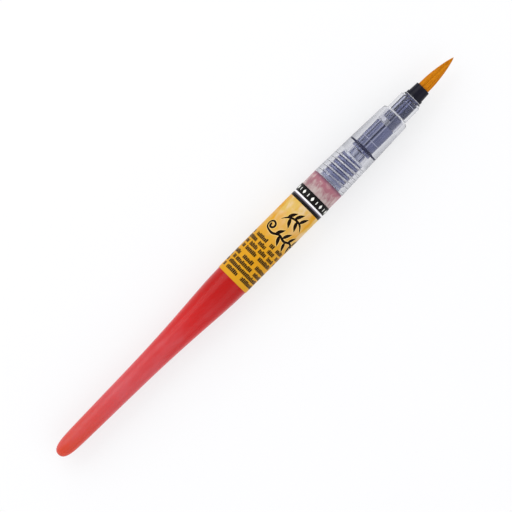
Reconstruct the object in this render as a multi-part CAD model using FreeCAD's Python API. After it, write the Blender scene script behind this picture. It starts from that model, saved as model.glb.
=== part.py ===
import FreeCAD, Part

import math
import os

from FreeCAD import Vector

# A refillable brush pen, 175 mm long without its cap, lying on its side along +X with the tuft at +X.
# Every piece is drawn upright first: Z runs along the pen from the tail (0) to the tip of the tuft,
# and the pen is laid down at the end. All sizes are in millimetres.

# Stations along the pen.
LENGTH = 175.0
LABEL_START = 77.0
LABEL_END = 113.9
SHOULDER = 119.6
NECK_END = 129.95
SLEEVE_FRONT = 149.6
NOSE_FRONT = 157.0
COLLAR_MOUTH = 161.5

# Clearances between pieces that are pressed or dropped together.
SLIP = 0.02
END_GAP = 0.05
CUT_THROUGH = 1.0

# Squeeze barrel. Its side is one curve, and each of the curve's poles is (height, radius).
BARREL_RADIUS = 5.80
TAIL_POLES = ((0.0, 0.0), (0.0, 1.25), (1.7, 2.6), (6.0, 3.0))
FLANK_POLES = ((14.0, 3.17), (27.0, 3.44), (43.0, 3.78), (58.0, 4.66), (68.5, 5.50), (75.0, 5.80),
               (80.0, 5.80))
WALL = 0.85
SHOULDER_WALL = 1.4
NECK_ROOT = 3.92
NECK_BORE = 2.60
LABEL_THICKNESS = 0.11
LABEL_GAP = 0.01
INK_GAP = 0.03
INK_LEVEL = 108.0

# The screw thread between the neck and the grip sleeve, right-handed.
PITCH = 1.82
THREAD_START = 120.77
THREAD_TURNS = 4.7
THREAD_CREST = 4.30
THREAD_FOOT = 0.2
RIDGE_BASE = 0.66
RIDGE_TOP = 0.34
THREAD_PLAY = 0.09
THREAD_LEAD_IN_TURNS = 2
THREAD_RUN_OUT_TURNS = 0.2

# Grip sleeve: its outside is a cone, and its bore steps down three times.
SLEEVE_REAR = SHOULDER + 0.1
SLEEVE_REAR_RADIUS = 5.85
SLEEVE_FRONT_RADIUS = 4.90
SLEEVE_EDGE = 1.2
SLEEVE_REAR_EDGE = 0.15
THREAD_BORE = 4.12
SEAL_LEDGE = 130.75
RING_BORE = 3.52
RING_LEDGE = 135.35
FEED_BORE = 3.38
NOSE_SOCKET = 145.0

# Nose tube. Its rear is held in the sleeve's socket, and the cap pushes onto its front.
NOSE_SOCKET_RADIUS = 3.55
NOSE_RADIUS = 3.82
NOSE_STEP = 155.8
NOSE_STEP_RADIUS = 3.66
NOSE_TIP_RADIUS = 3.05
NOSE_BORE = 2.95
NOSE_LIP = 155.7
NOSE_LIP_BORE = 2.66

# Feed core, the dark body that carries ink from the neck to the tuft.
FEED_REAR = 133.5
FEED_FLANGE_RADIUS = 3.46
FEED_FLANGE_FRONT = 134.3
FEED_RING_SEAT_RADIUS = 2.56
FEED_RING_SEAT_FRONT = 135.4
FEED_REAR_RADIUS = 3.22
FEED_STEP = 138.0
FEED_RADIUS = 3.32
FEED_SHOULDER = 144.8
FEED_NOSE_RADIUS = 2.87
FEED_FRONT = 155.6
FEED_GROOVE_ANGLES = (250, 176, 146, 116, 86, 56, 26)
FEED_GROOVE_REAR = 135.9
FEED_GROOVE_WIDTH = 0.4
FEED_GROOVE_DEPTH = 0.75
WINDOW_REAR = 144.75
WINDOW_FRONT = 146.6
WINDOW_SIDE = 1.1
WINDOW_SLANT = 0.45

# Seals.
NECK_SEAL_INNER = 2.78
NECK_SEAL_OUTER = 4.00
RING_SECTION_RADIUS = 0.5
RING_SQUEEZE = 0.12

# Flow plug pressed into the neck, with a castellated spout.
PLUG_REAR = 120.6
PLUG_RADIUS = NECK_BORE - SLIP
PLUG_SPOUT_RADIUS = 2.55
PLUG_SPOUT_FRONT = 133.3
PLUG_SLOTS = 8
PLUG_SLOT_REAR = 130.9
PLUG_SLOT_WIDTH = 0.55
PLUG_SLOT_DEPTH = 0.8

# Fibre wick through the middle of the feed core.
WICK_RADIUS = 0.80
WICK_HOLE = 0.88
WICK_REAR = 131.6
WICK_FRONT = 157.3

# Collar that holds the tuft.
COLLAR_SPIGOT_REAR = 155.75
COLLAR_SPIGOT_RADIUS = 2.60
COLLAR_BASE_RADIUS = 2.98
COLLAR_BASE_FRONT = 157.95
COLLAR_REAR_RADIUS = 2.74
COLLAR_FRONT_RADIUS = 2.54
COLLAR_LIP = 0.22
COLLAR_BORE = 2.12

# Tuft: a fused root plug in the collar, and the free bristles that bend about a point near the mouth.
ROOT_REAR = 157.45
ROOT_FRONT = 160.2
FLEX_CENTRE = COLLAR_MOUTH + 0.8
TUFT_RADIUS = 2.04
TUFT_POLES = ((164.6, 2.02), (167.4, 1.75), (171.4, 1.12), (174.2, 0.42))
TUFT_TIP_RADIUS = 0.06

LABEL_RADIUS = BARREL_RADIUS + LABEL_GAP + LABEL_THICKNESS
AXIS_HEIGHT = LABEL_RADIUS

ORIGIN = Vector(0, 0, 0)
UP = Vector(0, 0, 1)


def profile_point(height, radius):
    """A point of an upright piece's half outline."""
    return Vector(radius, 0, height)


def rounded_edges(corners):
    """The edges of a closed outline through (height, radius, rounding) corners."""
    spots = [profile_point(height, radius) for height, radius, _ in corners]
    joints = []
    for i, (_, _, rounding) in enumerate(corners):
        here = spots[i]
        if rounding == 0:
            joints.append((here, None, here))
            continue
        back = (spots[i - 1] - here).normalize()
        ahead = (spots[(i + 1) % len(spots)] - here).normalize()
        half = back.getAngle(ahead) / 2
        middle_line = (back + ahead).normalize()
        setback = rounding / math.tan(half)
        bulge = rounding / math.sin(half) - rounding
        joints.append((here + back * setback, here + middle_line * bulge, here + ahead * setback))
    edges = []
    for i, (start, middle, end) in enumerate(joints):
        if middle is not None:
            edges.append(Part.Arc(start, middle, end).toShape())
        following = joints[(i + 1) % len(joints)][0]
        edges.append(Part.LineSegment(end, following).toShape())
    return edges


def spin(edges):
    """The solid that a closed half outline sweeps about the pen's axis."""
    return Part.Face(Part.Wire(Part.__sortEdges__(edges))).revolve(ORIGIN, UP, 360)


def turned(*corners):
    """A turned solid from (height, radius) or (height, radius, rounding) corners."""
    return spin(rounded_edges([(c + (0,))[:3] for c in corners]))


def smooth(poles):
    """One smooth edge that starts at the first pole, ends at the last and leans to those between."""
    curve = Part.BSplineCurve()
    curve.buildFromPoles(poles)
    return curve.toShape()


def straight(*points):
    """Straight edges from each point to the next."""
    return [Part.LineSegment(a, b).toShape() for a, b in zip(points, points[1:])]


def flank(inset):
    """The poles of the barrel's side, from its tail to where it turns cylindrical, moved in by inset."""
    tail_end, tail_radius = TAIL_POLES[-1]
    shrink = (tail_radius - inset) / tail_radius
    poles = [profile_point(tail_end - (tail_end - h) * shrink, r * shrink) for h, r in TAIL_POLES]
    return poles + [profile_point(h, r - inset) for h, r in FLANK_POLES]


def thread(start, turns, crest, base, top):
    """A helical ridge of trapezium section, base wide at the neck and top wide at the crest."""
    inner = NECK_ROOT - THREAD_FOOT
    slope = (base - top) / 2 / (crest - NECK_ROOT)
    foot = base / 2 + slope * THREAD_FOOT
    path = Part.makeHelix(PITCH, PITCH * turns, NECK_ROOT)
    section = Part.makePolygon([
        profile_point(-foot, inner),
        profile_point(-top / 2, crest),
        profile_point(top / 2, crest),
        profile_point(foot, inner),
        profile_point(-foot, inner),
    ])
    ridge = Part.Wire(path).makePipeShell([section], True, True)
    ridge.translate(Vector(0, 0, start))
    return ridge


def radial_slot(angle, low, high, width, inner, outer):
    """A straight slot cutter from one radius to another, at an angle about the axis."""
    cutter = Part.makeBox(outer - inner, width, high - low, Vector(inner, -width / 2, low))
    cutter.rotate(ORIGIN, UP, angle)
    return cutter


def barrel():
    outside = flank(0)
    body_edges = [smooth(outside)] + straight(
        outside[-1],
        profile_point(SHOULDER, BARREL_RADIUS),
        profile_point(SHOULDER, NECK_ROOT),
        profile_point(NECK_END, NECK_ROOT),
        profile_point(NECK_END, 0),
        outside[0],
    )
    inside = flank(WALL)
    cavity_edges = [smooth(inside)] + straight(
        inside[-1],
        profile_point(SHOULDER - SHOULDER_WALL, BARREL_RADIUS - WALL),
        profile_point(SHOULDER - SHOULDER_WALL, NECK_BORE),
        profile_point(NECK_END + CUT_THROUGH, NECK_BORE),
        profile_point(NECK_END + CUT_THROUGH, 0),
        inside[0],
    )
    ridge = thread(THREAD_START, THREAD_TURNS, THREAD_CREST, RIDGE_BASE, RIDGE_TOP)
    return spin(body_edges).fuse(ridge).cut(spin(cavity_edges))


def label():
    inner = BARREL_RADIUS + LABEL_GAP
    return turned(
        (LABEL_START, inner),
        (LABEL_START, LABEL_RADIUS),
        (LABEL_END, LABEL_RADIUS),
        (LABEL_END, inner),
    )


def ink_charge():
    side = flank(WALL + INK_GAP)
    edges = [smooth(side)] + straight(
        side[-1],
        profile_point(INK_LEVEL, BARREL_RADIUS - WALL - INK_GAP),
        profile_point(INK_LEVEL, 0),
        side[0],
    )
    return spin(edges)


def flow_plug():
    body = turned(
        (PLUG_REAR, WICK_HOLE),
        (PLUG_REAR, PLUG_RADIUS, 0.4),
        (NECK_END, PLUG_RADIUS),
        (NECK_END, PLUG_SPOUT_RADIUS),
        (PLUG_SPOUT_FRONT, PLUG_SPOUT_RADIUS, 0.25),
        (PLUG_SPOUT_FRONT, WICK_HOLE),
    )
    for i in range(PLUG_SLOTS):
        body = body.cut(radial_slot(360 / PLUG_SLOTS * i, PLUG_SLOT_REAR, PLUG_SPOUT_FRONT + CUT_THROUGH,
                                    PLUG_SLOT_WIDTH, PLUG_SPOUT_RADIUS - PLUG_SLOT_DEPTH,
                                    PLUG_SPOUT_RADIUS + CUT_THROUGH))
    return body


def neck_seal():
    rear = NECK_END + END_GAP
    front = SEAL_LEDGE - END_GAP
    return turned(
        (rear, NECK_SEAL_INNER),
        (rear, NECK_SEAL_OUTER, 0.1),
        (front, NECK_SEAL_OUTER, 0.1),
        (front, NECK_SEAL_INNER),
    )


def grip_sleeve():
    body = turned(
        (SLEEVE_REAR, THREAD_BORE),
        (SLEEVE_REAR, SLEEVE_REAR_RADIUS, SLEEVE_REAR_EDGE),
        (SLEEVE_FRONT, SLEEVE_FRONT_RADIUS, SLEEVE_EDGE),
        (SLEEVE_FRONT, NOSE_SOCKET_RADIUS + SLIP),
        (NOSE_SOCKET, NOSE_SOCKET_RADIUS + SLIP),
        (NOSE_SOCKET, FEED_BORE),
        (RING_LEDGE, FEED_BORE),
        (RING_LEDGE, RING_BORE),
        (SEAL_LEDGE, RING_BORE),
        (SEAL_LEDGE, THREAD_BORE),
    )
    groove = thread(THREAD_START - THREAD_LEAD_IN_TURNS * PITCH,
                    THREAD_LEAD_IN_TURNS + THREAD_TURNS + THREAD_RUN_OUT_TURNS,
                    THREAD_CREST + THREAD_PLAY,
                    RIDGE_BASE + 2 * THREAD_PLAY, RIDGE_TOP + 2 * THREAD_PLAY)
    return body.cut(groove)


def nose_tube():
    return turned(
        (NOSE_SOCKET + END_GAP, NOSE_BORE),
        (NOSE_SOCKET + END_GAP, NOSE_SOCKET_RADIUS, 0.15),
        (SLEEVE_FRONT, NOSE_SOCKET_RADIUS),
        (SLEEVE_FRONT, NOSE_RADIUS),
        (NOSE_STEP, NOSE_RADIUS, 0.06),
        (NOSE_STEP, NOSE_STEP_RADIUS),
        (NOSE_FRONT, NOSE_TIP_RADIUS, 0.2),
        (NOSE_FRONT, NOSE_LIP_BORE),
        (NOSE_LIP, NOSE_LIP_BORE),
        (NOSE_LIP, NOSE_BORE),
    )


def feed_window():
    """A wedge-shaped cutter that passes right through the core beside its wick, with a slanted rear."""
    reach = FEED_RADIUS + CUT_THROUGH
    corners = (
        (WINDOW_SIDE, WINDOW_REAR),
        (reach, WINDOW_REAR + WINDOW_SLANT * (reach - WINDOW_SIDE)),
        (reach, WINDOW_FRONT),
        (WINDOW_SIDE, WINDOW_FRONT),
        (WINDOW_SIDE, WINDOW_REAR),
    )
    outline = Part.makePolygon([Vector(-reach, side, height) for side, height in corners])
    return Part.Face(outline).extrude(Vector(2 * reach, 0, 0))


def feed_core():
    """The core's stepped body, with ink channels along one half of its side and a window."""
    body = turned(
        (FEED_REAR, WICK_HOLE),
        (FEED_REAR, FEED_FLANGE_RADIUS, 0.12),
        (FEED_FLANGE_FRONT, FEED_FLANGE_RADIUS, 0.12),
        (FEED_FLANGE_FRONT, FEED_RING_SEAT_RADIUS),
        (FEED_RING_SEAT_FRONT, FEED_RING_SEAT_RADIUS),
        (FEED_RING_SEAT_FRONT, FEED_REAR_RADIUS, 0.05),
        (FEED_STEP, FEED_REAR_RADIUS),
        (FEED_STEP, FEED_RADIUS, 0.05),
        (FEED_SHOULDER, FEED_RADIUS, 0.1),
        (FEED_SHOULDER, FEED_NOSE_RADIUS),
        (FEED_FRONT, FEED_NOSE_RADIUS, 0.15),
        (FEED_FRONT, WICK_HOLE),
    )
    for angle in FEED_GROOVE_ANGLES:
        body = body.cut(radial_slot(angle, FEED_GROOVE_REAR, FEED_FRONT + CUT_THROUGH, FEED_GROOVE_WIDTH,
                                    FEED_NOSE_RADIUS - FEED_GROOVE_DEPTH, FEED_RADIUS + CUT_THROUGH))
    return body.cut(feed_window())


def flange_oring():
    """A ring in front of the feed core's flange, pressed a little way into the sleeve's wall."""
    middle = (FEED_FLANGE_FRONT + RING_LEDGE) / 2
    middle_radius = RING_BORE + RING_SQUEEZE - RING_SECTION_RADIUS
    return Part.makeTorus(middle_radius, RING_SECTION_RADIUS, Vector(0, 0, middle), UP)


def ink_wick():
    return turned((WICK_REAR, 0), (WICK_REAR, WICK_RADIUS, 0.2), (WICK_FRONT, WICK_RADIUS, 0.3),
                  (WICK_FRONT, 0))


def tuft_collar():
    return turned(
        (COLLAR_SPIGOT_REAR, WICK_HOLE),
        (COLLAR_SPIGOT_REAR, COLLAR_SPIGOT_RADIUS, 0.15),
        (NOSE_FRONT + END_GAP, COLLAR_SPIGOT_RADIUS),
        (NOSE_FRONT + END_GAP, COLLAR_BASE_RADIUS, 0.08),
        (COLLAR_BASE_FRONT, COLLAR_BASE_RADIUS, 0.12),
        (COLLAR_BASE_FRONT, COLLAR_REAR_RADIUS),
        (COLLAR_MOUTH, COLLAR_FRONT_RADIUS, COLLAR_LIP),
        (COLLAR_MOUTH, COLLAR_BORE, 0.05),
        (ROOT_REAR - END_GAP, COLLAR_BORE),
        (ROOT_REAR - END_GAP, WICK_HOLE),
    )


def tuft_root():
    radius = COLLAR_BORE - SLIP
    return turned((ROOT_REAR, 0), (ROOT_REAR, radius, 0.15), (ROOT_FRONT, radius, 0.1), (ROOT_FRONT, 0))


def bristle_tuft():
    """A round seat about the flex centre below, and the tapering bristles above."""
    seat_bottom = profile_point(FLEX_CENTRE - TUFT_RADIUS, 0)
    seat_side = profile_point(FLEX_CENTRE, TUFT_RADIUS)
    reach = TUFT_RADIUS * math.sqrt(0.5)
    seat_middle = profile_point(FLEX_CENTRE - reach, reach)
    tip = profile_point(LENGTH - TUFT_TIP_RADIUS, TUFT_TIP_RADIUS)
    side = smooth([seat_side] + [profile_point(h, r) for h, r in TUFT_POLES] + [tip])
    edges = [Part.Arc(seat_bottom, seat_middle, seat_side).toShape(), side]
    edges += straight(tip, profile_point(LENGTH, 0), seat_bottom)
    return spin(edges)


def lay_down(shape):
    """Turns an upright piece onto its side along +X, centred on the origin and resting on Z = 0."""
    shape.rotate(ORIGIN, Vector(0, 1, 0), 90)
    shape.translate(Vector(-LENGTH / 2, 0, AXIS_HEIGHT))
    return shape


PIECES = (
    barrel,
    label,
    ink_charge,
    flow_plug,
    neck_seal,
    grip_sleeve,
    nose_tube,
    feed_core,
    flange_oring,
    ink_wick,
    tuft_collar,
    tuft_root,
    bristle_tuft,
)


def main():
    os.makedirs("parts", exist_ok=True)
    for piece in PIECES:
        shape = lay_down(piece())
        name = piece.__name__
        shape.exportStep(f"parts/{name}.step")
        print(f"{name}: {len(shape.Solids)} solid, {shape.Volume / 1000:.3f} ml, valid {shape.isValid()}")


main()
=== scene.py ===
import math
import random

import bmesh
import bpy
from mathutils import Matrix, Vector


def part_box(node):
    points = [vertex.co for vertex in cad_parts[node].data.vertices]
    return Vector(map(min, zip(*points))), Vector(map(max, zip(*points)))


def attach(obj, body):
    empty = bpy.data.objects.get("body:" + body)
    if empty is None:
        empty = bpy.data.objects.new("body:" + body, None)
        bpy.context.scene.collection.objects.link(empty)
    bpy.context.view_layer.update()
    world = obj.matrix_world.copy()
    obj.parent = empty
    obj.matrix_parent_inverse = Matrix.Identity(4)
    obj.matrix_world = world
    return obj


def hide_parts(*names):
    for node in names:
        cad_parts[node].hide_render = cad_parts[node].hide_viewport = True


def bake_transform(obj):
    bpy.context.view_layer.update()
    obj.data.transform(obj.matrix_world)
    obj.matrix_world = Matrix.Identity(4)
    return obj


# A refillable brush pen without its cap, lying on a pale floor. The CAD pieces keep their own shapes and
# get their materials here. The label's raised print and the tuft's bristles are built here.
# Lengths are in metres, and MM turns millimetres into metres.

MM = 0.001

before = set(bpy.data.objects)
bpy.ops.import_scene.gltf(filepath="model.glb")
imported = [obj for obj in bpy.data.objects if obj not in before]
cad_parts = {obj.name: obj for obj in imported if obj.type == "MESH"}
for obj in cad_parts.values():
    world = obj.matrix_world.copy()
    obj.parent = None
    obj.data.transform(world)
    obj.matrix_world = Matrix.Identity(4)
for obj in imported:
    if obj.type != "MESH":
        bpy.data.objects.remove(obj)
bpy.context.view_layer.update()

LABEL_LOW, LABEL_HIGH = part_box("label")
AXIS_HEIGHT = (LABEL_LOW.z + LABEL_HIGH.z) / 2
LABEL_RADIUS = (LABEL_HIGH.z - LABEL_LOW.z) / 2
TAIL_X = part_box("barrel")[0].x
TIP_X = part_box("bristle_tuft")[1].x
ROOT_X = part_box("tuft_root")[1].x


def from_tail(x):
    """Millimetres from the pen's tail to x."""
    return (x - TAIL_X) / MM


LABEL_START = from_tail(LABEL_LOW.x)
LABEL_END = from_tail(LABEL_HIGH.x)
NOSE_END = from_tail(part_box("nose_tube")[1].x)
SLEEVE_START, SLEEVE_END = [from_tail(corner.x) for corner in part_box("grip_sleeve")]


# ---------------------------------------------------------------- colours and node helpers

def linear(r, g, b):
    """A colour given as display values from 0 to 255, as linear RGBA."""
    def channel(v):
        v /= 255
        return v / 12.92 if v <= 0.04045 else ((v + 0.055) / 1.055) ** 2.4
    return (channel(r), channel(g), channel(b), 1.0)


# The colour mix node's sockets, by index.
MIX_SHARE, MIX_A, MIX_B, MIX_RESULT = 0, 6, 7, 2


class Surface:
    """A procedural material around one Principled shader."""

    def __init__(self, name, **sockets):
        self.material = bpy.data.materials.new(name)
        self.material.use_nodes = True
        self.tree = self.material.node_tree
        self.shader = self.tree.nodes["Principled BSDF"]
        for socket, value in sockets.items():
            self.shader.inputs[socket.replace("_", " ")].default_value = value
        self.place = self.node("ShaderNodeTexCoord").outputs["Object"]

    def node(self, kind, links=(), **settings):
        """A new node with its properties set and its inputs linked or set, by index or name."""
        made = self.tree.nodes.new(kind)
        for name, value in settings.items():
            setattr(made, name, value)
        self.fill(made, dict(links))
        return made

    def fill(self, node, values):
        """Links or sets the node's inputs, by index or name."""
        for socket, value in values.items():
            if isinstance(value, bpy.types.NodeSocket):
                self.tree.links.new(value, node.inputs[socket])
            else:
                node.inputs[socket].default_value = value

    def math(self, operation, a, b=0.0):
        """The result of one arithmetic operation on a and b, which are numbers or sockets."""
        return self.node("ShaderNodeMath", {0: a, 1: b}, operation=operation).outputs[0]

    def affine(self, value, scale, offset):
        """value times scale plus offset."""
        made = self.node("ShaderNodeMath", {0: value, 1: scale, 2: offset}, operation="MULTIPLY_ADD")
        return made.outputs[0]

    def between(self, value, low, high):
        """value, which runs from 0 to 1, spread from low to high."""
        return self.affine(value, high - low, low)

    def smooth(self, value, low, high):
        """0 below low and 1 above high, with a soft step between."""
        made = self.node("ShaderNodeMapRange", {"Value": value, "From Min": low, "From Max": high},
                         interpolation_type="SMOOTHSTEP")
        return made.outputs["Result"]

    def stretched(self, x, y, z):
        """Object coordinates divided by a size in millimetres along each axis."""
        scales = (1 / (x * MM), 1 / (y * MM), 1 / (z * MM))
        made = self.node("ShaderNodeVectorMath", {0: self.place, 1: scales}, operation="MULTIPLY")
        return made.outputs[0]

    def noise(self, size=(1, 1, 1), detail=2.0, roughness=0.5, distortion=0.0):
        """Noise whose blobs are about size millimetres along each axis."""
        made = self.node("ShaderNodeTexNoise", {"Vector": self.stretched(*size), "Scale": 1.0,
                                                "Detail": detail, "Roughness": roughness,
                                                "Distortion": distortion})
        return made.outputs["Fac"]

    def mix(self, share, a, b):
        """Colour a where share is 0, b where it is 1, and a blend between."""
        made = self.node("ShaderNodeMix", data_type="RGBA", clamp_factor=True)
        self.fill(made, {MIX_SHARE: share, MIX_A: a, MIX_B: b})
        return made.outputs[MIX_RESULT]

    def ramp(self, value, stops, steps=False):
        """The colour at value between (position, colour) stops, in flat steps or blended."""
        made = self.node("ShaderNodeValToRGB", {"Fac": value})
        made.color_ramp.interpolation = "CONSTANT" if steps else "LINEAR"
        elements = made.color_ramp.elements
        while len(elements) < len(stops):
            elements.new(0.5)
        for element, (position, colour) in zip(elements, stops):
            element.position = position
            element.color = colour
        return made.outputs["Color"]

    def along(self):
        """Millimetres along the pen from its tail."""
        x = self.node("ShaderNodeSeparateXYZ", {0: self.place}).outputs["X"]
        return self.math("MULTIPLY", self.math("SUBTRACT", x, TAIL_X), 1 / MM)

    def across(self):
        """How far a spot is to +Y and above the pen's axis, in metres."""
        parts = self.node("ShaderNodeSeparateXYZ", {0: self.place}).outputs
        return parts["Y"], self.math("SUBTRACT", parts["Z"], AXIS_HEIGHT)

    def turn(self):
        """The angle about the pen's axis from its top, in degrees, positive towards +Y."""
        return self.math("MULTIPLY", self.math("ARCTAN2", *self.across()), 180 / math.pi)

    def around(self):
        """Millimetres round the label from its top, positive towards -Y."""
        return self.math("MULTIPLY", self.turn(), -math.radians(1) * LABEL_RADIUS / MM)

    def radius(self):
        """Millimetres from the pen's axis."""
        y, z = self.across()
        squares = self.math("ADD", self.math("MULTIPLY", y, y), self.math("MULTIPLY", z, z))
        return self.math("MULTIPLY", self.math("SQRT", squares), 1 / MM)

    def stripe(self, value, low, high, soft):
        """1 between low and high and 0 outside, with soft edges."""
        rising = self.smooth(value, low - soft, low)
        falling = self.smooth(value, high, high + soft)
        return self.math("SUBTRACT", rising, falling)

    def set(self, socket, value):
        """Links value to the shader's socket."""
        self.tree.links.new(value, self.shader.inputs[socket])

    def absorb(self, colour, density):
        """Darkens light by its way through the piece, where density is per metre."""
        made = self.node("ShaderNodeVolumeAbsorption", {"Color": colour, "Density": density})
        self.tree.links.new(made.outputs["Volume"], self.tree.nodes["Material Output"].inputs["Volume"])

    def bump(self, height, distance, strength=1.0):
        """Bumps the surface by height, which runs from 0 to 1, over a distance in millimetres."""
        links = {"Height": height, "Distance": distance * MM, "Strength": strength}
        made = self.node("ShaderNodeBump", links)
        self.set("Normal", made.outputs["Normal"])


# ---------------------------------------------------------------- materials

# Places along the pen are millimetres from its tail. Places round it are degrees from its top towards +Y.
# The neck's thread, with the radius of its crest in millimetres:
CREST_RADIUS = 4.30
THREAD_START = 120.77
PITCH = 1.82

# The feed core, whose ink channels start at its top and go round its +Y half:
CHANNEL_FIRST = 4.0
CHANNEL_SPACING = 30.0
CHANNEL_LAST = CHANNEL_FIRST + 5 * CHANNEL_SPACING
CHANNEL_REAR = 135.8
CORE_STEP = 138.0
CORE_SHOULDER = 144.8
CORE_TIP_RIM = 154.45
WINDOW_REAR = 144.75
WINDOW_FRONT = 146.6

# Each end of the clear pieces, and how many millimetres from it the plastic is cloudy:
CLOUDY_ENDS = ((SLEEVE_START, 0.1), (SLEEVE_END, 0.5), (NOSE_END, 0.3))
ABSORPTION_PER_METRE = 165

MILKY_UP_TO = 30
WICK_RED_UP_TO = 132
WICK_PALE_FROM = 156


def clear_plastic():
    """Polished clear plastic with faint scuffs, a cool tint and cloudy end faces."""
    s = Surface("clear_plastic", Base_Color=linear(248, 248, 251), Transmission_Weight=1.0, IOR=1.49,
                Specular_Tint=linear(186, 189, 206))
    s.absorb(linear(188, 190, 197), ABSORPTION_PER_METRE)
    s.set("Transmission Weight", s.between(away_from_ends(s), 0.5, 1.0))
    s.set("Roughness", s.between(s.noise((1.6, 0.5, 0.5), 5, 0.6), 0.0, 0.02))
    s.bump(s.noise((9, 2.2, 2.2), 2), 0.01, 0.2)
    return s.material


def away_from_ends(s):
    """0 at the ends of the clear pieces and 1 away from them."""
    x = s.along()
    away = 1.0
    for end, depth in CLOUDY_ENDS:
        distance = s.math("ABSOLUTE", s.math("SUBTRACT", x, end))
        away = s.math("MULTIPLY", s.smooth(distance, 0.03, depth), away)
    return away


def ink_colours(s, x):
    """Ink's colour along the pen: coral at the tail, then rose, and deep red where the column is thick."""
    return s.ramp(s.math("DIVIDE", x, LABEL_START), (
        (0.00, linear(222, 76, 50)),
        (0.12, linear(222, 74, 60)),
        (0.28, linear(220, 78, 80)),
        (0.46, linear(219, 74, 78)),
        (0.61, linear(217, 56, 58)),
        (0.76, linear(214, 34, 34)),
        (0.90, linear(200, 14, 12)),
        (1.00, linear(192, 8, 4)),
    ))


def frosted_barrel():
    """Milky squeezable plastic: red where ink wets it, stained in the shoulder, slate in the neck."""
    s = Surface("frosted_barrel", IOR=1.42, Specular_IOR_Level=0.12, Sheen_Weight=0.3, Sheen_Roughness=0.4,
                Sheen_Tint=linear(255, 205, 210))
    x = s.along()
    cloud = s.smooth(s.noise((11, 4, 4), 3), 0.4, 0.75)
    milky = s.between(s.smooth(x, MILKY_UP_TO, LABEL_START), 0.5, 0.04)
    wetted = s.mix(s.math("MULTIPLY", cloud, milky), ink_colours(s, x), linear(222, 102, 110))
    stained = shoulder_stain(s, x)
    front = s.mix(s.smooth(x, SLEEVE_START - 0.1, SLEEVE_START + 0.2), stained, threaded_neck(s, x))
    s.set("Base Color", s.mix(s.math("GREATER_THAN", x, LABEL_END - 4), wetted, front))
    s.set("Transmission Weight", s.between(s.smooth(x, LABEL_END, SLEEVE_START + 0.2), 0.3, 0.0))
    grain = s.noise((0.5, 0.35, 0.35), 3)
    frost = s.between(s.smooth(x, SLEEVE_START, SLEEVE_START + 0.5), 0.16, 0.03)
    s.set("Roughness", s.math("ADD", frost, s.math("MULTIPLY", grain, 0.04)))
    s.bump(grain, 0.004, 0.25)
    return s.material


def threaded_neck(s, x):
    """Slate plastic whose thread crest has a painted white highlight between two dark lines of painted shade.
    """
    mottled = s.mix(s.noise((1.2, 0.6, 0.6), 3), linear(132, 138, 176), linear(158, 164, 202))
    paleness = s.between(s.smooth(x, SLEEVE_START + 0.6, THREAD_START + 1.2), 0.5, 0.0)
    slate = s.mix(paleness, mottled, linear(204, 206, 222))
    # Painted shade: dark navy lines along the thread's flanks on both sides of each crest, following the
    # helix.
    turns = s.affine(s.turn(), 1 / 360, -0.5 - THREAD_START / PITCH)
    phase = s.math("FRACT", s.math("ADD", turns, s.math("DIVIDE", x, PITCH)))
    beside = s.math("SUBTRACT", 1.0, s.stripe(phase, 0.42, 0.58, 0.1))
    darkened = s.math("MULTIPLY", s.smooth(x, THREAD_START, THREAD_START + 3), beside)
    lined = s.mix(s.math("MULTIPLY", darkened, 0.9), slate, linear(70, 75, 122))
    # Painted highlight: the crest is painted white, and weaker towards the thread's rear.
    crest = s.smooth(s.radius(), CREST_RADIUS - 0.2, CREST_RADIUS - 0.12)
    highlighted = s.between(s.smooth(x, THREAD_START + 0.6, THREAD_START + 4), 0.45, 1.0)
    return s.mix(s.math("MULTIPLY", crest, highlighted), lined, linear(252, 253, 255))


def shoulder_stain(s, x):
    """Grey plastic with blotches of dried ink, more of them towards the grip sleeve, and a darker mauve rim
    right next to it.
    """
    blotches = s.noise((2.6, 1.7, 1.7), 5, 0.6, 0.6)
    towards_sleeve = s.smooth(x, LABEL_END - 1.5, SLEEVE_START - 0.5)
    share = s.smooth(s.math("ADD", s.math("MULTIPLY", towards_sleeve, 0.32), blotches), 0.42, 0.9)
    # A rim right next to the sleeve is mixed towards dark mauve.
    rim = s.smooth(x, SLEEVE_START - 1.3, SLEEVE_START - 0.1)
    stained = s.mix(share, linear(200, 182, 178), linear(158, 102, 114))
    return s.mix(s.math("MULTIPLY", rim, 0.85), stained, linear(104, 64, 86))


def red_ink():
    """Ink in the barrel, cloudy with deeper red."""
    s = Surface("red_ink", Specular_IOR_Level=0.1, Roughness=0.3)
    cloud = s.noise((12, 3.5, 3.5), 3)
    s.set("Base Color", s.mix(s.smooth(cloud, 0.4, 0.75), ink_colours(s, s.along()), linear(190, 34, 30)))
    return s.material


def slate_plastic():
    """Slate-blue moulded plastic: ink darkens its channels, its ribs, lips and rims carry painted highlights,
    it has painted shade inside the nose tube and painted light at its window.
    """
    s = Surface("slate_plastic", Specular_IOR_Level=0.2)
    x = s.along()
    turn = s.turn()
    in_nose = s.smooth(x, SLEEVE_END - 0.3, SLEEVE_END + 0.1)
    streaks = s.noise((9, 0.4, 0.4), 2, 0.5)
    body = core_body(s, turn, in_nose, streaks)
    # Painted highlights: pale lines on the ribs, lips and rims stand in for reflections of the lights.
    highlighted = s.mix(painted_highlights(s, x, turn, in_nose), body, linear(214, 217, 236))
    wet = inked_channels(s, x, turn, in_nose)
    darkened = s.mix(wet, highlighted, linear(16, 18, 58))
    # Painted light: the core's surfaces in and beside its window are painted near-white, as if lit through
    # the window.
    window_light = s.math("MULTIPLY", s.stripe(x, WINDOW_REAR, WINDOW_FRONT, 0.1), s.stripe(turn, -5, 172, 1))
    s.set("Base Color", s.mix(window_light, darkened, linear(250, 251, 255)))
    s.set("Roughness", s.between(s.math("MAXIMUM", wet, streaks), 0.35, 0.6))
    s.bump(s.noise((2.5, 0.2, 0.2), 3), 0.02, 0.2)
    return s.material


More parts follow.
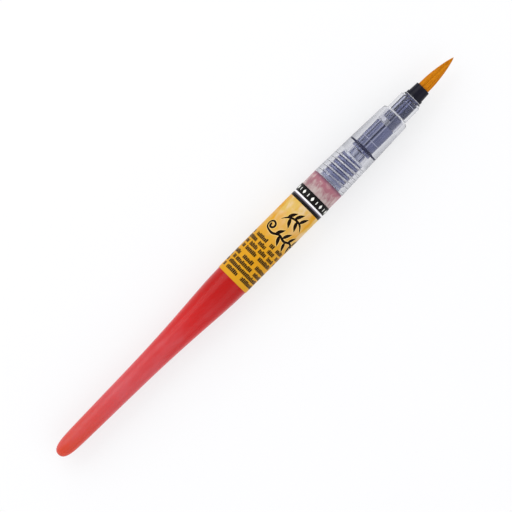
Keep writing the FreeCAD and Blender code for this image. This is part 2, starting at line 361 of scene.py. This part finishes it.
def core_body(s, turn, in_nose, streaks):
    """Streaky slate with much darker painted shade inside the nose tube, except along the core's top."""
    body = s.mix(s.smooth(streaks, 0.3, 0.7), linear(108, 113, 150), linear(138, 143, 182))
    off_top = s.math("SUBTRACT", 1.0, s.stripe(turn, -10, 16, 4))
    shade = s.math("MULTIPLY", in_nose, off_top)
    return s.mix(s.math("MULTIPLY", shade, 0.9), body, linear(28, 36, 68))


def channel_cells(s, turn):
    """The angle counted in channels, whole at each, and 1 where the core has channels."""
    cell = s.math("DIVIDE", s.math("SUBTRACT", turn, CHANNEL_FIRST), CHANNEL_SPACING)
    return cell, s.stripe(turn, CHANNEL_FIRST - 4, CHANNEL_LAST + 4, 1)


def painted_highlights(s, x, turn, in_nose):
    """How much painted highlight the core gets, on the ribs between the channels, on three lips and on two
    rims.
    """
    cell, finned = channel_cells(s, turn)
    behind = s.math("SUBTRACT", 1.0, in_nose)
    on_rib = s.stripe(s.math("FRACT", cell), 0.16, 0.36, 0.04)
    rib = s.math("MULTIPLY", on_rib, s.math("MULTIPLY", finned, behind))
    rear_lip = s.math("MULTIPLY", s.stripe(turn, -8, -5, 1), behind)
    side_lip = s.math("MULTIPLY", s.stripe(turn, -64, -48, 2), s.stripe(x, CORE_SHOULDER, SLEEVE_END, 0.1))
    nose_lip = s.math("MULTIPLY", s.stripe(turn, 36, 50, 2), in_nose)
    step_rim = s.stripe(x, CORE_STEP, CORE_STEP + 0.2, 0.05)
    tip_rim = s.stripe(x, CORE_TIP_RIM, CORE_TIP_RIM + 0.1, 0.05)
    pale = s.math("MULTIPLY", rib, 0.5)
    for share in (rear_lip, side_lip, nose_lip, step_rim, tip_rim):
        pale = s.math("MAXIMUM", pale, share)
    return pale


def inked_channels(s, x, turn, in_nose):
    """1 in the channels, which widen towards the +Y side, in one in the nose and in one on the -Y side."""
    cell, finned = channel_cells(s, turn)
    off_centre = s.math("ABSOLUTE", s.math("SUBTRACT", s.math("FRACT", s.math("ADD", cell, 0.5)), 0.5))
    sideways = s.math("MULTIPLY", s.math("MULTIPLY", off_centre, math.radians(CHANNEL_SPACING)), s.radius())
    half_width = s.between(s.smooth(turn, 20, 60), 0.05, 0.4)
    dark = s.math("MULTIPLY", s.math("LESS_THAN", sideways, half_width), finned)
    nose_channel = s.math("MULTIPLY", s.stripe(turn, 20, 29, 1), in_nose)
    for share in (nose_channel, s.stripe(turn, -78, -64, 1)):
        dark = s.math("MAXIMUM", dark, share)
    return s.math("MULTIPLY", dark, s.math("GREATER_THAN", x, CHANNEL_REAR))


def plug_plastic():
    """Milky moulded plastic with lengthwise flow streaks, a little stained."""
    s = Surface("plug_plastic", IOR=1.5)
    streaks = s.noise((5, 0.3, 0.3), 4, 0.6)
    s.set("Base Color", s.mix(s.smooth(streaks, 0.35, 0.65), linear(142, 148, 180), linear(232, 234, 246)))
    s.set("Roughness", s.between(streaks, 0.2, 0.4))
    s.bump(streaks, 0.015, 0.4)
    return s.material


def seal_plastic():
    """Soft white plastic."""
    s = Surface("seal_plastic", IOR=1.5)
    s.set("Base Color", s.mix(s.noise((0.6, 0.6, 0.6), 3), linear(240, 243, 254), linear(250, 252, 255)))
    s.set("Roughness", s.between(s.noise((0.3, 0.3, 0.3)), 0.2, 0.4))
    return s.material


def black_rubber():
    """Dull blue-black rubber."""
    s = Surface("black_rubber", IOR=1.5)
    s.set("Base Color", s.mix(s.noise((0.2, 0.2, 0.2), 4), linear(20, 22, 66), linear(44, 46, 94)))
    s.set("Roughness", s.between(s.noise((0.4, 0.4, 0.4), 3), 0.5, 0.8))
    return s.material


def wick_fibre():
    """Lengthwise fibres, soaked red at the rear and paler at the front."""
    s = Surface("wick_fibre", Sheen_Weight=0.2)
    fibres = s.noise((6, 0.08, 0.08), 3)
    paleness = s.smooth(s.along(), WICK_RED_UP_TO, WICK_PALE_FROM)
    soaked = s.mix(paleness, linear(150, 40, 48), linear(196, 120, 118))
    s.set("Base Color", s.mix(fibres, soaked, linear(226, 196, 190)))
    s.set("Roughness", s.between(fibres, 0.55, 0.85))
    s.bump(fibres, 0.03, 0.8)
    return s.material


def black_plastic():
    """Black moulded plastic with a satin skin, and a slate film of ink on the part inside the nose tube."""
    s = Surface("black_plastic", Specular_IOR_Level=0.12)
    skin = s.noise((0.5, 0.25, 0.25), 4, 0.6)
    black = s.mix(skin, linear(10, 9, 20), linear(20, 19, 34))
    outside = s.smooth(s.along(), NOSE_END - 0.1, NOSE_END)
    s.set("Base Color", s.mix(outside, linear(92, 94, 124), black))
    s.set("Roughness", s.between(skin, 0.08, 0.22))
    s.bump(skin, 0.008, 0.3)
    return s.material


def nylon_bristle():
    """Amber nylon filaments, each a little different."""
    s = Surface("nylon_bristle", Specular_IOR_Level=0.12)
    own = s.node("ShaderNodeNewGeometry").outputs["Random Per Island"]
    lengthwise = s.noise((2.0, 0.3, 0.3), 3)
    amber = s.mix(own, linear(198, 120, 2), linear(216, 138, 6))
    s.set("Base Color", s.mix(s.smooth(lengthwise, 0.45, 0.8), amber, linear(184, 108, 2)))
    s.set("Roughness", s.between(own, 0.4, 0.6))
    return s.material


# Millimetres from the label's rear edge to its cream clouds and to the colours of its band:
CLOUDS_START = 13
CLOUDS_FULL = 30
BAND_START = 32.0
BAND_LINE = 32.9
BAND_WHITE = 33.4
BAND_BLACK = 33.9


def label_print():
    """Amber film with cream clouds, rows of tick marks, and a ruled dark band at its front."""
    s = Surface("label_print", Specular_IOR_Level=0.1)
    x = s.along()
    clouds = s.noise((8, 4, 4), 2, 0.5, 0.4)
    forward = s.smooth(x, LABEL_START + CLOUDS_START, LABEL_START + CLOUDS_FULL)
    cream_share = s.math("MULTIPLY", forward, s.smooth(clouds, 0.3, 0.55))
    amber = s.mix(s.noise((14, 8, 8), 1), linear(206, 143, 12), linear(202, 150, 34))
    cream = s.mix(s.smooth(s.noise((4, 3, 3), 2), 0.4, 0.6), linear(205, 171, 88), linear(212, 184, 140))
    ground = s.mix(cream_share, amber, cream)
    ground = s.mix(tick_rows(s, x, s.around()), ground, linear(16, 5, 0))
    length = LABEL_END - LABEL_START
    ruled = s.ramp(s.math("DIVIDE", s.math("SUBTRACT", x, LABEL_START), length), (
        (0.0, linear(14, 10, 8)),
        (BAND_LINE / length, linear(98, 90, 100)),
        (BAND_WHITE / length, linear(232, 230, 232)),
        (BAND_BLACK / length, linear(12, 9, 8)),
    ), steps=True)
    banded = s.math("GREATER_THAN", x, LABEL_START + BAND_START)
    s.set("Base Color", s.mix(banded, ground, ruled))
    s.set("Roughness", s.between(s.noise((0.5, 0.5, 0.5), 4), 0.3, 0.5))
    s.bump(s.noise((0.25, 0.25, 0.25), 2), 0.004, 0.2)
    return s.material


# Each block's start in millimetres from the tail, and its first row's lane in the noise:
TICK_BLOCKS = ((78.6, 3.1), (86.8, 43.1))
LANE_SPACING = 7.31

# Millimetres, except for the count of rows, the groups of ticks in a millimetre and the share left as gaps:
ROW_PITCH = 1.87
ROW_HEIGHT = 1.5
ROWS_IN_BLOCK = 4
TICK_PITCH = 0.6
TICK_WIDTH = 0.5
GROUPS_PER_MM = 0.5
GAP_SHARE = 0.33


def tick_rows(s, x, around):
    """1 on two blocks of rows of upright ticks of uneven height, with gaps here and there."""
    rear, front = [tick_block(s, x, around, start, lane) for start, lane in TICK_BLOCKS]
    return s.math("MAXIMUM", rear, front)


def tick_block(s, x, around, start, first_lane):
    """1 on the ticks of the block of rows that starts at start. Each row has its own lane of the noise."""
    rows = s.math("DIVIDE", s.math("SUBTRACT", x, start), ROW_PITCH)
    row = s.math("FLOOR", rows)
    in_block = s.math("MULTIPLY", s.math("GREATER_THAN", row, -0.5),
                      s.math("LESS_THAN", row, ROWS_IN_BLOCK - 0.5))
    lane = s.affine(row, LANE_SPACING, first_lane)
    ticks = s.math("DIVIDE", around, TICK_PITCH)
    upright = s.math("LESS_THAN", s.math("FRACT", ticks), TICK_WIDTH / TICK_PITCH)
    cell = s.node("ShaderNodeCombineXYZ", {0: s.math("FLOOR", ticks), 1: lane}).outputs[0]
    chance = s.node("ShaderNodeTexWhiteNoise", {"Vector": cell}, noise_dimensions="2D").outputs["Value"]
    height = s.math("MULTIPLY", s.between(chance, 0.7, 1.0), ROW_HEIGHT / ROW_PITCH)
    in_row = s.math("LESS_THAN", s.math("FRACT", rows), height)
    spot = s.node("ShaderNodeCombineXYZ", {0: around, 1: lane}).outputs[0]
    groups = s.node("ShaderNodeTexNoise", {"Vector": spot, "Scale": GROUPS_PER_MM, "Detail": 0.0},
                    noise_dimensions="2D").outputs["Fac"]
    marks = s.math("MULTIPLY", s.math("GREATER_THAN", groups, GAP_SHARE), upright)
    return s.math("MULTIPLY", marks, s.math("MULTIPLY", in_row, in_block))


def printing_ink(name, colour, shade):
    """Printing ink, a little uneven."""
    s = Surface(name, Specular_IOR_Level=0.05)
    s.set("Base Color", s.mix(s.noise((0.3, 0.3, 0.3), 3), colour, shade))
    s.set("Roughness", s.between(s.noise((0.4, 0.4, 0.4), 3), 0.25, 0.4))
    return s.material


def paint(node, material):
    """Gives a CAD piece its material."""
    node_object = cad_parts[node]
    node_object.data.materials.clear()
    node_object.data.materials.append(material)


bristle_material = nylon_bristle()
clear = clear_plastic()
for node, material in (
    ("barrel", frosted_barrel()),
    ("label", label_print()),
    ("ink_charge", red_ink()),
    ("flow_plug", plug_plastic()),
    ("neck_seal", seal_plastic()),
    ("grip_sleeve", clear),
    ("nose_tube", clear),
    ("feed_core", slate_plastic()),
    ("flange_oring", black_rubber()),
    ("ink_wick", wick_fibre()),
    ("tuft_collar", black_plastic()),
    ("tuft_root", bristle_material),
):
    paint(node, material)


# ---------------------------------------------------------------- meshes

def add_mesh(name, verts, faces, material):
    """A new piece whose faces all point outwards."""
    mesh = bpy.data.meshes.new(name)
    mesh.from_pydata(verts, [], faces)
    outward = bmesh.new()
    outward.from_mesh(mesh)
    bmesh.ops.recalc_face_normals(outward, faces=outward.faces)
    outward.to_mesh(mesh)
    outward.free()
    mesh.materials.append(material)
    piece = bpy.data.objects.new(name, mesh)
    bpy.context.scene.collection.objects.link(piece)
    return piece


def tube(verts, faces, rings):
    """Adds one closed tube to verts and faces, through rings of points that correspond one to one."""
    base = len(verts)
    sides = len(rings[0])
    for ring in rings:
        verts.extend(ring)
    for step in range(len(rings) - 1):
        for k in range(sides):
            here = base + step * sides
            ahead = (k + 1) % sides
            faces.append((here + k, here + sides + k, here + sides + ahead, here + ahead))
    last = base + (len(rings) - 1) * sides
    faces.append([base + k for k in range(sides)])
    faces.append([last + sides - 1 - k for k in range(sides)])


# ---------------------------------------------------------------- raised print on the label

PRINT_SUNK = -0.01 * MM
PRINT_RISE = 0.045 * MM
EDGING_RISE = 0.03 * MM

# How many millimetres the edging stands out past each side of a stroke:
EDGING_WIDTH = 0.2

STROKE_STEPS = 6
CURL_STEPS = 14


def on_label(u, v, rise):
    """The spot u millimetres round the label from its top towards -Y, v from the tail, rise above it."""
    angle = u * MM / LABEL_RADIUS
    radius = LABEL_RADIUS + rise
    return Vector((TAIL_X + v * MM, -radius * math.sin(angle), AXIS_HEIGHT + radius * math.cos(angle)))


def eased(points):
    """A smooth path through (u, v, half width) points, by Catmull-Rom."""
    ends = [points[0]] + list(points) + [points[-1]]
    path = []
    for a, b, c, d in zip(ends, ends[1:], ends[2:], ends[3:]):
        for step in range(STROKE_STEPS):
            t = step / STROKE_STEPS
            path.append(tuple(0.5 * (2 * q + (r - p) * t + (2 * p - 5 * q + 4 * r - s) * t * t
                                     + (3 * q - p - 3 * r + s) * t ** 3)
                              for p, q, r, s in zip(a, b, c, d)))
    return path + [tuple(points[-1])]


def stroke(verts, faces, points, rise, widen=0.0):
    """Adds one flat raised stroke that hugs the label and goes through (u, v, half width) points."""
    path = eased(points)
    rings = []
    for i, (u, v, half_width) in enumerate(path):
        before, after = path[max(0, i - 1)], path[min(len(path) - 1, i + 1)]
        run = Vector((after[0] - before[0], after[1] - before[1])).normalized()
        across = Vector((-run.y, run.x)) * (half_width + widen)
        left, right = (u + across.x, v + across.y), (u - across.x, v - across.y)
        rings.append([on_label(*left, PRINT_SUNK), on_label(*left, rise), on_label(u, v, rise),
                      on_label(*right, rise), on_label(*right, PRINT_SUNK)])
    tube(verts, faces, rings)


def leaf(u, v, side):
    """A tapering dab that leaves a stem at (u, v), towards the tuft (side 1) or the tail (side -1)."""
    return ((u, v, 0.12), (u + 0.3, v + side * 0.9, 0.5), (u + 0.8, v + side * 1.9, 0.5),
            (u + 1.6, v + side * 3.1, 0.06))


def curl(u, v, outer, inner, turns):
    """A spiral stroke about (u, v) that thickens towards its middle."""
    points = []
    for step in range(CURL_STEPS + 1):
        share = step / CURL_STEPS
        angle = -0.5 * math.pi - 2 * math.pi * turns * share
        radius = outer + (inner - outer) * share
        points.append((u + radius * math.cos(angle), v + radius * math.sin(angle), 0.3 + 0.12 * share))
    return points


def flourish_strokes():
    """Two sprigs of leaves across the label, the rear one with a curled end."""
    strokes = [
        ((-2.7, 101.4, 0.1), (-1.2, 103.2, 0.3), (1.0, 104.1, 0.36), (3.2, 103.7, 0.32), (5.0, 102.0, 0.1)),
        curl(-3.5, 98.0, 1.75, 0.45, 1.35),
        ((-3.5, 96.25, 0.3), (-1.6, 96.1, 0.4), (0.6, 97.2, 0.36), (3.0, 96.7, 0.4), (5.4, 97.5, 0.36),
         (8.0, 96.8, 0.36), (10.4, 97.6, 0.28), (12.6, 96.8, 0.1)),
    ]
    strokes += [leaf(u, v, 1) for u, v in ((-1.5, 102.9), (0.5, 104.0), (2.5, 103.9))]
    strokes += [leaf(u, v, -1) for u, v in ((-0.6, 103.6), (1.6, 104.1))]
    rear_leaves = ((-0.6, 96.5), (2.0, 97.0), (4.4, 97.1), (7.0, 97.1), (9.4, 97.3))
    strokes += [leaf(u, v, 1) for u, v in rear_leaves]
    strokes += [leaf(u, v, -1) for u, v in ((0.8, 97.2), (3.6, 96.8), (6.4, 97.2), (8.8, 97.0))]
    return strokes


def print_piece(name, strokes, material, rise, widen=0.0):
    """Raised print made of strokes, which rides on the barrel."""
    verts, faces = [], []
    for points in strokes:
        stroke(verts, faces, points, rise, widen)
    piece = add_mesh(name, verts, faces, material)
    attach(piece, "barrel")


BAND_MARKS = 20
MARK_PLACE = 112.4


def band_strokes():
    """Lozenges and bars in turn, evenly round the dark band."""
    spacing = 2 * math.pi * LABEL_RADIUS / MM / BAND_MARKS
    bar = ((-0.55, 0.13), (0.55, 0.13))
    lozenge = ((-0.75, 0.03), (0, 0.46), (0.75, 0.03))
    strokes = []
    for i in range(BAND_MARKS):
        mark = bar if i % 2 else lozenge
        strokes.append([(i * spacing, MARK_PLACE + v, half_width) for v, half_width in mark])
    return strokes


flourish = flourish_strokes()
cream_print = printing_ink("cream_print", linear(232, 196, 120), linear(224, 182, 96))
black_print = printing_ink("black_print", linear(14, 6, 2), linear(26, 14, 6))
white_print = printing_ink("white_print", linear(238, 238, 232), linear(220, 220, 214))
print_piece("flourish_edging", flourish, cream_print, EDGING_RISE, EDGING_WIDTH)
print_piece("flourish", flourish, black_print, PRINT_RISE)
print_piece("band_marks", band_strokes(), white_print, PRINT_RISE)


# ---------------------------------------------------------------- bristles

FILAMENTS = 640
FILAMENT_RADIUS = 0.062 * MM
FILAMENT_SIDES = 5
FILAMENT_STEPS = 16

# The bristles fill the outer part of the tuft's section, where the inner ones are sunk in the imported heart.
# The shortest ends SHORTEST_LOSS of the tuft's length before the tip, and the power keeps short ones few.
# Each turns about the tuft by up to LARGEST_SWAY radians on its way, and thins out over its front part.
INNERMOST_AREA = 0.55
SHORTEST_LOSS = 0.28
SHORTNESS_POWER = 2.4
LARGEST_SWAY = 0.06
THINS_FROM = 0.45
THINNING = 0.8
THINNING_POWER = 1.3

# The heart's share of the tuft's length and radius, how much thinner still it is, and its least radius:
HEART_LENGTH = 0.97
HEART_SHARE = 0.9
HEART_GAP = 0.06 * MM
HEART_SMALLEST = 0.02 * MM
HEART_SIDES = 20


def tuft_outline():
    """The CAD tuft's (x, radius) outline, sorted from its seat to its tip."""
    spots = {}
    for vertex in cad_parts["bristle_tuft"].data.vertices:
        x, y, z = vertex.co
        spots[round(x, 6)] = math.hypot(y, z - AXIS_HEIGHT)
    return sorted(spots.items())


OUTLINE = tuft_outline()
WIDEST_X, TUFT_RADIUS = max(OUTLINE, key=lambda spot: spot[1])


def tuft_radius(x):
    """The tuft's radius at x. It stays at its widest from the root to the widest place."""
    if x <= WIDEST_X:
        return TUFT_RADIUS
    for (x0, r0), (x1, r1) in zip(OUTLINE, OUTLINE[1:]):
        if x0 <= x <= x1:
            return r0 + (r1 - r0) * (x - x0) / (x1 - x0)
    return 0.0


def circle(centre, radius, sides):
    """A ring of points about centre, square to the pen."""
    angles = [2 * math.pi * k / sides for k in range(sides)]
    return [centre + Vector((0, math.cos(angle), math.sin(angle))) * radius for angle in angles]


def filament(rng):
    """The rings of one bristle, which runs from the root towards the tip and thins out."""
    spread = math.sqrt(rng.uniform(INNERMOST_AREA, 1.0))
    turn = rng.uniform(0, 2 * math.pi)
    reach = 1 - SHORTEST_LOSS * rng.random() ** SHORTNESS_POWER
    sway = rng.uniform(-LARGEST_SWAY, LARGEST_SWAY)
    rings = []
    for step in range(FILAMENT_STEPS + 1):
        share = step / FILAMENT_STEPS
        x = ROOT_X + (TIP_X - ROOT_X) * reach * share
        along_thin_part = max(0.0, (share - THINS_FROM) / (1 - THINS_FROM))
        thickness = FILAMENT_RADIUS * (1 - THINNING * along_thin_part ** THINNING_POWER)
        out = max(0.0, tuft_radius(x) - thickness) * spread
        angle = turn + sway * share
        centre = Vector((x, out * math.sin(angle), AXIS_HEIGHT + out * math.cos(angle)))
        rings.append(circle(centre, thickness, FILAMENT_SIDES))
    return rings


def heart():
    """The rings of the packed bristles at the tuft's middle."""
    rings = []
    for step in range(FILAMENT_STEPS + 1):
        x = ROOT_X + (TIP_X - ROOT_X) * HEART_LENGTH * step / FILAMENT_STEPS
        radius = max(HEART_SMALLEST, tuft_radius(x) * HEART_SHARE - HEART_GAP)
        rings.append(circle(Vector((x, 0, AXIS_HEIGHT)), radius, HEART_SIDES))
    return rings


def bristles():
    """Several hundred bristles that close to a point, round a packed heart."""
    rng = random.Random(7)
    verts, faces = [], []
    tube(verts, faces, heart())
    for _ in range(FILAMENTS):
        tube(verts, faces, filament(rng))
    piece = add_mesh("bristles", verts, faces, bristle_material)
    piece.data.shade_smooth()
    return piece


tuft = bristles()
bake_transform(tuft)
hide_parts("bristle_tuft")


# ---------------------------------------------------------------- floor, lights and camera

def floor():
    """A pale lit table, whose own light keeps the pen's shadow faint."""
    s = Surface("floor", IOR=1.45, Roughness=0.9,
                Emission_Color=(1.0, 1.0, 1.0, 1.0), Emission_Strength=0.655)
    s.set("Base Color", s.mix(s.noise((40, 40, 40), 2), linear(140, 140, 142), linear(142, 142, 143)))
    reach = 1.5
    verts = [(-reach, -reach, 0), (reach, -reach, 0), (reach, reach, 0), (-reach, reach, 0)]
    add_mesh("floor", verts, [(0, 1, 2, 3)], s.material)


def softbox(name, tilt, distance, size, brightness):
    """An area light over the pen, tilt degrees from straight up towards +Y, that faces the pen."""
    light = bpy.data.lights.new(name, "AREA")
    light.shape = "RECTANGLE"
    light.size, light.size_y = size
    light.energy = brightness * math.pi * size[0] * size[1]
    lamp = bpy.data.objects.new(name, light)
    lamp.location = (0, distance * math.sin(math.radians(tilt)), distance * math.cos(math.radians(tilt)))
    lamp.rotation_euler = (-math.radians(tilt), 0, 0)
    bpy.context.scene.collection.objects.link(lamp)


def studio():
    """Surroundings that are evenly pale in every direction."""
    surroundings = bpy.data.worlds.new("studio")
    surroundings.use_nodes = True
    background = surroundings.node_tree.nodes["Background"]
    background.inputs["Color"].default_value = (0.98, 0.985, 1.0, 1.0)
    background.inputs["Strength"].default_value = 1.0
    bpy.context.scene.world = surroundings


CAMERA_DISTANCE = 1.2
VIEW_WIDTH = 0.15985
PEN_SLANT = 45.13
SENSOR_WIDTH_MM = 36.0


def camera():
    """Straight above the pen's middle, turned so that the tuft points to the picture's upper right."""
    data = bpy.data.cameras.new("camera")
    data.sensor_width = SENSOR_WIDTH_MM
    data.lens = SENSOR_WIDTH_MM * CAMERA_DISTANCE / VIEW_WIDTH
    data.clip_start = 0.01
    eye = bpy.data.objects.new("camera", data)
    eye.location = (0, 0, AXIS_HEIGHT + CAMERA_DISTANCE)
    eye.rotation_euler = (0, 0, -math.radians(PEN_SLANT))
    bpy.context.scene.collection.objects.link(eye)
    bpy.context.scene.camera = eye


floor()
studio()
softbox("key", 50, 0.7, (0.8, 0.5), 1.5)
softbox("fill", -50, 0.7, (0.8, 0.48), 0.5)
camera()
bpy.context.scene.view_settings.view_transform = "Standard"
